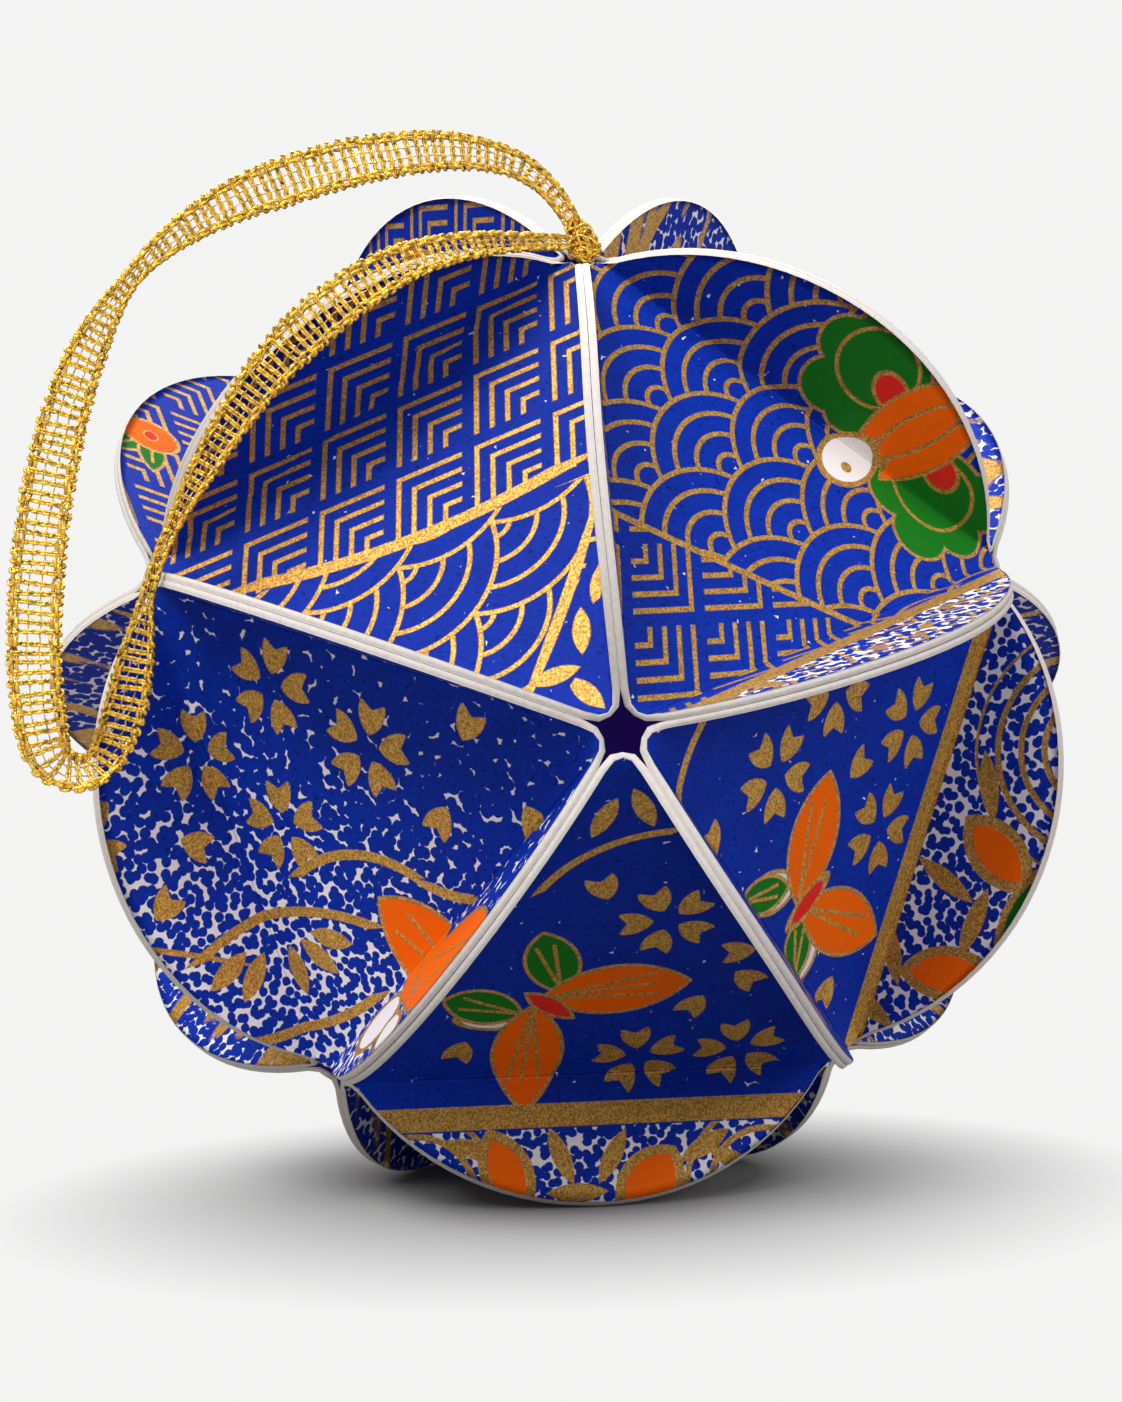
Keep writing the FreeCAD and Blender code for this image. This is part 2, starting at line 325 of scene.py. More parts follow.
# Numbers over a surface, built from math nodes
class Value:
    """One number that varies over the surface."""

    def __init__(self, socket):
        self.socket = socket

    def do(self, operation, *others, clamp=False):
        tree = self.socket.id_data
        node = tree.nodes.new("ShaderNodeMath")
        node.operation = operation
        node.use_clamp = clamp
        for place, item in enumerate((self, *others)):
            if isinstance(item, Value):
                tree.links.new(item.socket, node.inputs[place])
            else:
                node.inputs[place].default_value = item
        return Value(node.outputs[0])

    def __add__(self, other):
        return self.do("ADD", other)

    def __sub__(self, other):
        return self.do("SUBTRACT", other)

    def __mul__(self, other):
        return self.do("MULTIPLY", other)

    def __truediv__(self, other):
        return self.do("DIVIDE", other)

    def __neg__(self):
        return self.do("MULTIPLY", -1.0)

    def __rsub__(self, other):
        return self.do("MULTIPLY_ADD", -1.0, other)

    def size(self):
        return self.do("ABSOLUTE")

    def part(self):
        return self.do("FRACT")

    def clamped(self, times=1.0, plus=0.0):
        """The value times a number plus a number, kept from 0 to 1."""
        return self.do("MULTIPLY_ADD", times, plus, clamp=True)

    def root(self):
        return self.do("SQRT")

    def low(self, other):
        return self.do("MINIMUM", other)

    def high(self, other):
        return self.do("MAXIMUM", other)


def far(x, y):
    """Distance from the origin."""
    return (x * x + y * y).root()


def turned(x, y, degrees):
    """The point in axes turned anticlockwise."""
    cosine, sine = math.cos(math.radians(degrees)), math.sin(math.radians(degrees))
    return x * cosine + y * sine, y * cosine - x * sine


def inside(distance, soft=0.09):
    """1 where the distance is below nought, 0 where it is above, with a narrow blend."""
    return distance.clamped(-1 / soft, 0.5)


def ellipse(x, y, at, half_long, half_wide, degrees):
    """Distance to an ellipse, about right near its edge."""
    x, y = turned(x - at[0], y - at[1], degrees)
    return (far(x / half_long, y / half_wide) - 1) * min(half_long, half_wide)


def pointed(x, y, length, width):
    """Distance to a leaf round the origin, whose sides are two arcs."""
    radius = (length**2 + width**2) / (4 * width)
    return far(x, y.size() + (radius - width / 2)) - radius


def leaf(x, y, at, length, width, degrees):
    """Distance to a leaf at a place and angle."""
    return pointed(*turned(x - at[0], y - at[1], degrees), length, width)


def rings_round(distance, first, step, width):
    """Distance to the lines of even rings, from the distance to their middle."""
    return (((distance - first) / step + 0.5).part() - 0.5).size() * step - width / 2


def arc(x, y, first, middle, last, width):
    """Distance to a band of even width along the circle through three points."""
    (ax, ay), (bx, by), (cx, cy) = first, middle, last
    area = 2 * (ax * (by - cy) + bx * (cy - ay) + cx * (ay - by))
    squares = [ax**2 + ay**2, bx**2 + by**2, cx**2 + cy**2]
    ox = (squares[0] * (by - cy) + squares[1] * (cy - ay) + squares[2] * (ay - by)) / area
    oy = (squares[0] * (cx - bx) + squares[1] * (ax - cx) + squares[2] * (bx - ax)) / area
    radius = math.hypot(ax - ox, ay - oy)
    to_middle = ((ax + cx) / 2 - ox, (ay + cy) / 2 - oy)
    if (bx - ox) * to_middle[0] + (by - oy) * to_middle[1] < 0:
        to_middle = (-to_middle[0], -to_middle[1])
    size = math.hypot(*to_middle)
    way = (to_middle[0] / size, to_middle[1] / size)
    limit = (ax - ox) * way[0] + (ay - oy) * way[1]
    x, y = x - ox, y - oy
    return ((far(x, y) - radius).size() - width / 2).high(limit - (x * way[0] + y * way[1]))


def path(x, y, points, width):
    """Distance to a band through several points, two arcs at a time."""
    found = None
    for start in range(0, len(points) - 2, 2):
        piece = arc(x, y, *points[start : start + 3], width)
        found = piece if found is None else found.low(piece)
    return found


PETAL_MIDDLE = 2.5


def half_heart(x, y):
    """Distance to a notched petal whose tip points to the origin, for a point with y above nought."""
    flank = far(x - 3.3, y + 1.13) - 2.43
    notch = (x - 3.35 - y * 0.6) * 0.86
    return flank.high(notch).high(far(x - 2.6, y - 0.2) - 1.66)


def nearest(x, y, places):
    """The point as seen from the nearest of several places, each (u, v, turn in degrees)."""
    best = None
    for u, v, degrees in places:
        here_x, here_y = turned(x - u, y - v, degrees)
        square = here_x * here_x + here_y * here_y
        if best is None:
            best = (square, here_x, here_y)
            continue
        closer = square.do("LESS_THAN", best[0])
        best = (
            square.low(best[0]),
            (here_x - best[1]).do("MULTIPLY_ADD", closer, best[1]),
            (here_y - best[2]).do("MULTIPLY_ADD", closer, best[2]),
        )
    return best[1], best[2]


def blossoms(x, y, places):
    """Distance to five notched petals round each place."""
    x, y = nearest(x, y, places)
    angle = y.do("ARCTAN2", x)
    swing = ((angle / math.radians(72) + 0.5).part() - 0.5) * math.radians(72)
    length = far(x, y)
    return half_heart(length * swing.do("COSINE"), (length * swing.do("SINE")).size())


def hearts(x, y, places):
    """Distance to one notched petal at each place, its notch towards the turn."""
    x, y = nearest(x, y, places)
    return half_heart(x + PETAL_MIDDLE, y.size())


def leaves(x, y, places, length, width):
    """Distance to one leaf at each place."""
    return pointed(*nearest(x, y, places), length, width)


def chevrons(x, y, apex, first, second, reach=0.87):
    """Distance to nested angles on a lattice: the arms run along first and against second."""
    area = first[1] * second[0] - first[0] * second[1]
    x, y = x - apex[0], y - apex[1]
    along = ((x * -second[1] + y * second[0]) / area).part()
    across = ((x * -first[1] + y * first[0]) / area).part()
    pitch = abs(area) / math.hypot(*first)
    inner, outer = along.low(across), along.high(across)
    start, step, end, half_width = 0.06, 0.2, 0.76, 0.24
    line = rings_round(inner, start, step, 0) * pitch - half_width
    return line.high((inner - end) * pitch).high((outer - reach) * pitch)


def waves(x, y, start, pitch, rise, core, step, bulge, width=0.46):
    """Distance to the lines of overlapping fans of four rings, which bulge in one direction."""
    x, y = turned(x - start[0], y - start[1], bulge - 90)
    row = (y / rise).do("FLOOR")
    radius = core + 3 * step
    found = None
    taken = None
    for behind in (1, 0, -1):
        here = row - behind
        shift = (here * 0.5).part() * pitch
        dx = (((x - shift) / pitch + 0.5).part() - 0.5) * pitch
        distance = far(dx, y - here * rise)
        rings = rings_round(distance, core, step, width).high(core * 0.5 - distance)
        if found is None:
            found, taken = rings, distance.do("LESS_THAN", radius + width / 2)
            continue
        fresh = 1 - taken
        if behind == 0:
            covers = distance.do("LESS_THAN", radius + width / 2)
            fresh = fresh * covers
            taken = taken.high(covers)
        found = (rings - found).do("MULTIPLY_ADD", fresh, found)
    return found


# The inks
def colour(red, green, blue):
    """A colour as it is seen, in numbers up to 255, made into what the shader wants."""
    linear = []
    for part in (red, green, blue):
        part /= 255
        linear.append(part / 12.92 if part <= 0.04045 else ((part + 0.055) / 1.055) ** 2.4)
    return (*linear, 1)


BLUE = colour(4, 46, 168)
DEEP_BLUE = colour(1, 14, 88)
PALE_BLUE = colour(22, 70, 190)
WHITE = colour(244, 238, 236)
ORANGE = colour(255, 106, 0)
GREEN = colour(22, 118, 26)
RED = colour(236, 44, 32)
# Lit and shaded gold, mixed in random specks as painted glints on the gold print
GOLD_LIT = colour(224, 176, 88)
GOLD_SHADED = colour(150, 106, 42)

# The print's line widths in millimetres, and its flecks to the millimetre
OUTLINE = 0.34
RIB = 0.34
BAND = 1.15
FLECKS = 1.3


class Paper:
    """A material under way: its colour so far, and how much of it is gold."""

    def __init__(self, name, threads=False):
        """Reads the place on the card, or for threads the place in space, both in millimetres."""
        self.material = bpy.data.materials.new(name)
        self.material.use_nodes = True
        self.tree = self.material.node_tree
        self.tree.nodes.clear()
        if threads:
            place = self.add("TexCoord")
            mapping = self.add("Mapping")
            mapping.inputs["Scale"].default_value = (1 / MM, 1 / MM, 1 / MM)
            self.link(place.outputs["Object"], mapping.inputs["Vector"])
            self.vector = mapping.outputs[0]
        else:
            card = self.add("Attribute")
            card.attribute_name = "card"
            self.vector = card.outputs["Vector"]
        split = self.add("SeparateXYZ")
        self.link(self.vector, split.inputs[0])
        self.u, self.v, self.h = (Value(output) for output in split.outputs)
        self.gold = self.h * 0.0
        self.shade = None

    def add(self, kind):
        return self.tree.nodes.new("ShaderNode" + kind)

    def link(self, source, target):
        self.tree.links.new(source, target)

    def noise(self, scale, detail=2.0, distortion=0.0, squeeze=None):
        """A cloud of numbers from 0 to 1, with spots of about 1/scale millimetres."""
        vector = self.vector
        if squeeze:
            mapping = self.add("Mapping")
            mapping.inputs["Scale"].default_value = (*squeeze, 1)
            self.link(vector, mapping.inputs["Vector"])
            vector = mapping.outputs[0]
        node = self.add("TexNoise")
        node.inputs["Scale"].default_value = scale
        node.inputs["Detail"].default_value = detail
        node.inputs["Distortion"].default_value = distortion
        self.link(vector, node.inputs["Vector"])
        return Value(node.outputs[0])

    def mix(self, amount, below, above):
        """below and above blended by the amount: each is a colour or a socket."""
        node = self.add("Mix")
        node.data_type = "RGBA"
        for socket, item in ((node.inputs[0], amount), (node.inputs[6], below), (node.inputs[7], above)):
            if isinstance(item, Value):
                item = item.socket
            if isinstance(item, bpy.types.NodeSocket):
                self.link(item, socket)
            else:
                socket.default_value = item
        return node.outputs[2]

    def lay(self, paint, mask):
        """Prints one colour over what is there."""
        if paint == "gold":
            self.gold = self.gold.high(mask)
            return
        self.shade = self.mix(mask, self.shade, paint)
        self.gold = self.gold * (1 - mask)

    def finish(self):
        """The shader: dull inked fibre, and metal where the print is gold, with painted glints: random
        specks of lit and shaded gold.
        """
        sparkle = self.noise(6.0, 2.0)
        grain = self.noise(2.2, 3.0)
        # Painted glints: the sparkle noise picks between lit and shaded gold
        painted_glint_share = ((sparkle - 0.36) * 3.4).clamped()
        gold_with_painted_glints = self.mix(painted_glint_share, GOLD_SHADED, GOLD_LIT)
        shade = self.mix(self.gold, self.shade, gold_with_painted_glints)
        shader = self.add("BsdfPrincipled")
        self.link(shade, shader.inputs["Base Color"])
        metal = self.gold * 0.3
        rough = self.gold.do("MULTIPLY_ADD", -0.2, 0.62)
        self.link(metal.socket, shader.inputs["Metallic"])
        self.link(rough.socket, shader.inputs["Roughness"])
        shader.inputs["Specular IOR Level"].default_value = 0.1
        self.emboss(shader, grain * 0.7 + sparkle * 0.3 + self.gold * 0.4, 0.07)
        return self.close(shader)

    def emboss(self, shader, height, depth):
        """Relief from a height, its depth in millimetres."""
        bump = self.add("Bump")
        bump.inputs["Distance"].default_value = depth * MM
        self.link(height.socket, bump.inputs["Height"])
        self.link(bump.outputs[0], shader.inputs["Normal"])

    def close(self, shader):
        """The material with this shader as its surface."""
        output = self.add("OutputMaterial")
        self.link(shader.outputs[0], output.inputs[0])
        return self.material


def plain_paper(name):
    """Blue washi with nothing on it yet."""
    paper = Paper(name)
    mottle = paper.noise(0.5, 3.0)
    fibre = paper.noise(3.0, 3.0, squeeze=(1, 0.6))
    weave = paper.noise(8.0, 1.0)
    shade = paper.mix(((mottle - 0.38) * 1.6).clamped(0.45), BLUE, DEEP_BLUE)
    shade = paper.mix(((weave - 0.5) * 4).clamped(0.5), shade, PALE_BLUE)
    paper.shade = paper.mix(((fibre - 0.57) * 7).clamped(0.7), shade, DEEP_BLUE)
    return paper


def speckle(paper, share, within=None):
    """White gaps between round blue dots: share says how open they are, as a Value or a number."""
    node = paper.add("TexVoronoi")
    node.voronoi_dimensions = "2D"
    node.inputs["Scale"].default_value = FLECKS
    paper.link(paper.vector, node.inputs["Vector"])
    cloud = paper.noise(0.9, 1.0, distortion=0.6)
    cut = 0.86 - share * 0.36 - (cloud - 0.5) * 0.5
    white = ((Value(node.outputs["Distance"]) - cut) * 14).clamped()
    paper.lay(WHITE, white if within is None else white * within)


def outlined(paper, shape, paint, rim=OUTLINE):
    """A coloured shape with a gold outline."""
    paper.lay("gold", inside(shape - rim))
    paper.lay(paint, inside(shape))


def wing(paper, at, length, width, degrees, paint, ribs=()):
    """A butterfly's wing: a coloured leaf with a gold outline, and ribs that fan out from its base."""
    u, v = paper.u, paper.v
    shape = leaf(u, v, at, length, width, degrees)
    outlined(paper, shape, paint)
    x, y = turned(u - at[0], v - at[1], degrees)
    x = x + length / 2
    for slope in ribs:
        rib = (y - x * slope).size() - RIB / 2
        paper.lay("gold", inside(rib.high(shape).high(x - length * 0.8)))


def scattered(paper, spots, length, width, within):
    """Gold leaves, each at its own place and angle."""
    for u, v, degrees in spots:
        paper.lay("gold", inside(leaf(paper.u, paper.v, (u, v), length, width, degrees)) * within)


def ringed(paper, at, first, reach, within):
    """Gold rings round a place, out to a distance."""
    distance = far(paper.u - at[0], paper.v - at[1])
    rings = rings_round(distance, first, 2.1, 0.54)
    paper.lay("gold", inside(rings.high(distance - reach)) * within)


def chevron_paper():
    """Nested angles, a gold band, fans below it and leaves at the corner."""
    paper = plain_paper("print_chevrons")
    u, v = paper.u, paper.v
    speckle(paper, -0.25)
    lines = chevrons(u, v, (1.12, 5.08), (4.77, -5.21), (6.48, 3.47))
    fans = waves(u, v, (-6.45, 0.48), 14.4, 4.29, 1.55, 2.28, -102.4)
    band = arc(u, v, (-12.5, 13.8), (-4.2, 1.2), (7.5, -9.8), BAND)
    lower = arc(u, v, (-14, -15.1), (-6, -14.6), (3, -12.9), 1.0)
    beyond = u * 0.78 + v * 0.62 + 2.4
    fans = fans.high(beyond).high(-14.6 - v + u * 0.06)
    lines = lines.high(-beyond)
    paper.lay("gold", inside(lines.low(fans).low(band).low(lower)))
    spots = [(-7.05, -16.9, 28), (-11.2, -16.6, -50), (-11.7, -19.6, 70), (-2.6, -16.4, 10)]
    paper.lay("gold", inside(leaves(u, v, spots, 4.2, 1.5)))
    wing(paper, (-19, 10), 20, 6, 55, ORANGE, (0.1,))
    return paper.finish()


def wave_paper():
    """Fans over most of the card, nested angles beyond a gold band, and a butterfly."""
    paper = plain_paper("print_waves")
    u, v = paper.u, paper.v
    speckle(paper, -0.25)
    fans = waves(u, v, (-12.23, -5.86), 15.1, 4.1, 1.4, 2.08, 19.4)
    lines = chevrons(u, v, (-7.31, 11.77), (1.87, 6.46), (-6.45, 4.13))
    split = (v - u - 10.2) * 0.707
    band = arc(u, v, (-15, -4.8), (-5, 5.2), (5, 15.1), BAND)
    drawn = fans.high(split).low(lines.high(-split)).low(band)
    paper.lay("gold", inside(drawn))
    # The flap beyond the fold is flecked, with a broad gold band
    beyond = inside(u + 15.4)
    speckle(paper, 1.0, beyond)
    paper.lay("gold", inside((u + 16.3).size() - 1.1))
    blotch = paper.noise(0.33, 1.0)
    paper.lay("gold", ((blotch - 0.6) * 20).clamped() * beyond)
    # The butterfly
    left_lobes = ((-3.6, -16.0, 2.6), (-8.0, -15.6, 2.6), (-9.2, -19.6, 2.4), (-7.0, -23.0, 2.8))
    right_lobes = ((5.2, -16.0, 2.4), (8.0, -15.2, 2.6), (11.0, -18.2, 2.5), (11.0, -22.4, 2.6))
    for at, lobes in (((-5.0, -19.4), left_lobes), ((8.0, -19.6), right_lobes)):
        core = ellipse(u, v, at, 4.8, 4.4, 0)
        whole = core
        for lobe_u, lobe_v, radius in lobes:
            whole = whole.low(far(u - lobe_u, v - lobe_v) - radius)
        outlined(paper, whole, GREEN)
        paper.lay("gold", inside((core + 0.9).size() - RIB / 2))
    for at in ((-3.1, -21), (5.6, -19.8)):
        outlined(paper, ellipse(u, v, at, 1.7, 1.25, 0), RED)
    for at, width in (((-0.9, -20.6), 3.0), ((3.4, -20.6), 3.0), ((1.3, -20.6), 2.6)):
        outlined(paper, leaf(u, v, at, 10.5, width, -78), ORANGE)
    outlined(paper, ellipse(u, v, (0.7, -13), 3.1, 2.2, -80), WHITE, 0.5)
    paper.lay("gold", inside(far(u, v + 12.3) - 0.55))
    return paper.finish()


def blossom_paper():
    """Blossoms on blue beside a butterfly, and a flecked border with buds beyond a gold band."""
    paper = plain_paper("print_blossoms")
    u, v = paper.u, paper.v
    speckle(paper, -0.2)
    flowers = [(-4.8, 8.2, 90), (4.5, 8.5, 84), (9.5, -1.8, 100), (1.2, -6.8, 92)]
    flowers += [(-20, -3, 20), (0, 20, 60)]
    single = [(2.6, 0.5, 0), (-11.8, -14, 200), (-13, 9.5, 80), (16, 4, 30), (11, 12, 120)]
    drawn = blossoms(u, v, flowers).low(hearts(u, v, single))
    drawn = drawn.low(arc(u, v, (-15, 13.5), (-11.5, 16.9), (-7, 18.6), 0.7))
    paper.lay("gold", inside(drawn))
    for at, degrees in (((-11.7, 0.4), -38), ((-11.8, -7.2), 48)):
        outlined(paper, leaf(u, v, (at[0] + 0.6, at[1] - 0.5), 6.2, 3.4, degrees), WHITE)
        wing(paper, at, 5.6, 3.0, degrees, GREEN, (0.12, -0.12))
    wing(paper, (-4.9, -0.4), 11.2, 5.6, 36, ORANGE, (0.16, -0.04))
    wing(paper, (-7.0, -9.9), 11.4, 5.6, -66, ORANGE, (0.14, -0.06))
    outlined(paper, ellipse(u, v, (-8.6, -4.7), 2.3, 0.75, 0), RED)
    # Beyond the band, white with blue flecks
    edge = u * 0.5 - v * 0.866 - 12.4
    beyond = inside(-edge)
    speckle(paper, 0.95, beyond)
    ringed(paper, (22, -18), 3.0, 11.4, beyond)
    spots = [(3.5, -21.5, 25), (-4, -18.3, 60), (4, -17, 100), (12.5, -13.5, 55), (-9, -20.5, 100)]
    scattered(paper, spots, 6.5, 1.7, beyond)
    outlined(paper, leaf(u, v, (9.1, -18.4), 6.6, 3.3, 88), ORANGE, 0.9)
    outlined(paper, leaf(u, v, (-1.4, -23.2), 7, 3.2, -42), ORANGE, 0.8)
    outlined(paper, ellipse(u, v, (7.5, -24.4), 3.6, 1.7, 20), GREEN, 0.6)
    paper.lay("gold", inside((edge - 0.1).size() - BAND))
    return paper.finish()


def garden_paper():
    """Nested angles all over, with a flower and its leaves."""
    paper = plain_paper("print_garden")
    u, v = paper.u, paper.v
    lines = chevrons(u, v, (1.12, 5.08), (4.77, -5.21), (6.48, 3.47))
    band = arc(u, v, (8, -18), (12, 0), (8, 18), 1.4).low(arc(u, v, (11, -18), (15, 0), (11, 18), 1.0))
    paper.lay("gold", inside(lines.low(band)))
    for at in ((-21.5, -5.5), (9, 16), (4, -17)):
        for degrees in (-160, -110, -60):
            turn = math.radians(degrees)
            spot = (at[0] + 2.6 * math.cos(turn), at[1] + 2.6 * math.sin(turn))
            wing(paper, spot, 5.2, 2.3, degrees, GREEN, (0.0,))
        outlined(paper, ellipse(u, v, at, 2.6, 2.0, 20), ORANGE)
        outlined(paper, far(u - at[0], v - at[1]) - 0.6, RED, 0.2)
    return paper.finish()


def fleck_paper():
    """White flecks that thicken across the card, blossoms, and a stem with leaves."""
    paper = plain_paper("print_flecks")
    u, v = paper.u, paper.v
    share = ((u * -0.45 + v * 0.8 + 9) / 24).clamped()
    speckle(paper, share * 0.8 + 0.2)
    flowers = [(3.3, 6.7, 100), (13.5, 8.5, 95), (1.5, -5.5, 82), (11.5, -2.4, 80)]
    single = [(-7, -6, 100), (-4, -14.2, -75), (-12.8, -12.5, 160), (7.6, 20.3, 270)]
    single += [(8.8, 14.5, 200), (14.5, 20, 200), (17.2, 18, 80)]
    drawn = blossoms(u, v, flowers).low(hearts(u, v, single))
    drawn = drawn.low(path(u, v, [(-14, -4), (-11.3, -1.4), (-8.6, -0.2), (-3, 3.2), (-0.2, 9.6)], 0.9))
    drawn = drawn.low(arc(u, v, (-8.6, 6.6), (-1.5, 13), (2.4, 22.5), 0.9))
    drawn = drawn.low(arc(u, v, (-12.4, 11), (-10, 19), (-5, 25.4), 0.9))
    drawn = drawn.low(arc(u, v, (1, 21), (4, 22.6), (8, 25), 0.8))
    stem_leaves = [(-5.5, 16.5, -30), (-6.2, 13.6, 8), (-6, 11.3, 38), (-2.6, 20, -75), (-0.4, 21, 82)]
    drawn = drawn.low(leaves(u, v, stem_leaves, 4.6, 1.8))
    paper.lay("gold", inside(drawn))
    wing(paper, (-20.5, -2.5), 17, 8.5, 62, ORANGE, (0.14, -0.1))
    outlined(paper, ellipse(u, v, (-17.3, 9.8), 4.2, 2.4, 60), WHITE, 0.6)
    outlined(paper, ellipse(u, v, (-22.5, 5.2), 2.6, 1.6, 40), WHITE, 0.5)
    wing(paper, (-13.6, 3.9), 12.6, 6.6, 3, ORANGE, (0.12, -0.1))
    return paper.finish()


def butterfly_paper():
    """A butterfly among blossoms, and a flecked border with orange leaves beyond a gold band."""
    paper = plain_paper("print_butterfly")
    u, v = paper.u, paper.v
    speckle(paper, -0.2)
    flowers = [(7, -5, 96), (-11, -4, 80), (-10.5, -13, 84)]
    single = [(11, 0.5, 20), (-0.7, -12.5, 230), (2.8, -11.5, 100), (-9.3, 11.8, 160)]
    single += [(-4, -8.3, 150), (14, 12, 40), (5, 20, 90)]
    drawn = blossoms(u, v, flowers).low(hearts(u, v, single))
    drawn = drawn.low(arc(u, v, (10.6, 5.8), (14.8, 2.2), (17.4, -5), 0.7))
    drawn = drawn.low(leaves(u, v, [(19, 1, -22), (20, -2, 25)], 4.6, 1.6))
    paper.lay("gold", inside(drawn))
    outlined(paper, ellipse(u, v, (-5.4, 9.7), 2.0, 0.8, 80), WHITE)
    wing(paper, (-3.4, 9.9), 6.6, 4.0, 72, GREEN, (0.14, -0.14))
    wing(paper, (2.1, 4.2), 7.4, 4.2, 14, GREEN, (0.16, -0.1))
    wing(paper, (-9.9, 5.9), 12.6, 5.8, 177, ORANGE, (0.13, -0.02, -0.15))
    wing(paper, (-1.6, -1.4), 12.2, 5.8, -82, ORANGE, (0.16, 0.02, -0.13))
    outlined(paper, leaf(u, v, (-3.5, 4.2), 4.9, 1.7, 50), RED)
    beyond = inside(u + 18)
    speckle(paper, 0.95, beyond)
    for at in ((-23.5, 16), (-24, -15)):
        ringed(paper, at, 3.2, 7.6, beyond)
    spots = [(-20.4, 3.2, 20), (-20.6, -1.3, -30), (-19.6, 10.6, 70)]
    spots += [(-20, -9.5, 120), (-23.6, 2, 90), (-21.5, -12, 60)]
    scattered(paper, spots, 5.4, 1.6, beyond)
    outlined(paper, leaf(u, v, (-21.6, 8), 6.2, 3.0, 22), ORANGE, 0.8)
    outlined(paper, leaf(u, v, (-23.2, -4.4), 6.4, 4.0, -38), ORANGE, 0.8)
    paper.lay("gold", inside((u + 16.8).size() - 1.05))
    return paper.finish()


def brushed_paper():
    """Flecks and broad gold strokes."""
    paper = plain_paper("print_brushed")
    speckle(paper, 0.75)
    stroke = paper.noise(0.24, 1.0, distortion=1.2, squeeze=(1, 0.3))
    paper.lay("gold", ((stroke - 0.53) * 20).clamped())
    return paper.finish()


def plain_shader(name, paint, painted_glow=0.0):
    """Bare paper with a little grain in its colour, and, where a glow strength is given, a painted glow:
    the paper gives off light in its own colour.
    """
    paper = Paper(name)
    grain = paper.noise(2.5, 3.0)
    darker = tuple(part * 0.82 for part in paint[:3]) + (1,)
    shade = paper.mix(((grain - 0.4) * 2).clamped(), paint, darker)
    shader = paper.add("BsdfPrincipled")
    paper.link(shade, shader.inputs["Base Color"])
    shader.inputs["Roughness"].default_value = 0.8
    # Painted light: the paper glows with its own colour
    if painted_glow:
        paper.link(shade, shader.inputs["Emission Color"])
        shader.inputs["Emission Strength"].default_value = painted_glow
    return paper.close(shader)


def thread_shader():
    """Metal thread: bright gold with painted shade in random dark brown patches, painted highlights in pale
    specks, and a fine twist.
    """
    paper = Paper("gold_thread", threads=True)
    grain = paper.noise(2.6, 2.0)
    fine = paper.noise(9.0, 1.0)
    # Painted shade: random patches of dark brown over the bright gold
    painted_shade_patches = ((grain - 0.47) * 5).clamped(0.85)
    shade = paper.mix(painted_shade_patches, colour(250, 202, 72), colour(120, 78, 14))
    # Painted highlights: pale yellow specks from the fine noise
    shade = paper.mix(((fine - 0.55) * 6).clamped(0.8), shade, colour(255, 236, 150))
    shader = paper.add("BsdfPrincipled")
    paper.link(shade, shader.inputs["Base Color"])
    shader.inputs["Metallic"].default_value = 0.8
    shader.inputs["Roughness"].default_value = 0.3
    paper.emboss(shader, fine + grain, 0.06)
    return paper.close(shader)


EDGE = plain_shader("cut_edge", colour(222, 214, 208))
# The cards' violet backs glow a little: painted light on the inside of the ball
BACK_WITH_PAINTED_GLOW = plain_shader("paper_back_painted_glow", colour(52, 26, 122), painted_glow=0.2)
PRINTS = {
    "chevrons": chevron_paper(),
    "waves": wave_paper(),
    "blossoms": blossom_paper(),
    "flecks": fleck_paper(),
    "butterfly": butterfly_paper(),
    "garden": garden_paper(),
    "brushed": brushed_paper(),
}
# Each disc's print, and the print's turn in degrees
PRINT_OF = {
    "disc_top": ("flecks", 120),
    "disc_upper_1": ("brushed", 150),
    "disc_upper_2": ("blossoms", 140),
    "disc_upper_3": ("garden", 0),
    "disc_shoulder_1": ("waves", 0),
    "disc_shoulder_2": ("brushed", 200),
    "disc_shoulder_3": ("garden", 90),
    "disc_shoulder_4": ("waves", 150),
    "disc_shoulder_5": ("chevrons", 200),
    "disc_shoulder_6": ("chevrons", 0),
    "disc_waist_1": ("blossoms", 0),
    "disc_waist_2": ("brushed", 120),
    "disc_waist_3": ("waves", 30),
    "disc_waist_4": ("butterfly", 100),
    "disc_waist_5": ("brushed", 60),
    "disc_waist_6": ("flecks", 0),
    "disc_lower_1": ("butterfly", 0),
    "disc_lower_2": ("brushed", 200),
    "disc_lower_3": ("brushed", 80),
    "disc_bottom": ("brushed", 240),
}
# How far some prints are moved, in millimetres
PRINT_SHIFTS = {
    "disc_upper_2": (2, 0),
    "disc_shoulder_3": (3, 2),
    "disc_waist_2": (3, 0),
    "disc_waist_5": (0, 5),
    "disc_lower_3": (9, 0),
    "disc_lower_2": (0, 9),
    "disc_bottom": (5, 5),
}


def put(name, data):
    """A new object in the scene."""
    made = bpy.data.objects.new(name, data)
    bpy.context.scene.collection.objects.link(made)
    return made


def add_piece(name, mesh, node):
    """A piece in the scene that rides on the body and stands for the given node."""
    piece = put(name, mesh)
    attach(piece, "root")
    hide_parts(node)
    return piece


for name in DISCS:
    print_name, turn = PRINT_OF[name]
    mesh = disc_mesh(name, turn, PRINT_SHIFTS.get(name, (0, 0)))
    for material in (PRINTS[print_name], EDGE, BACK_WITH_PAINTED_GLOW):
        mesh.materials.append(material)
    add_piece("folded_" + name, mesh, name)


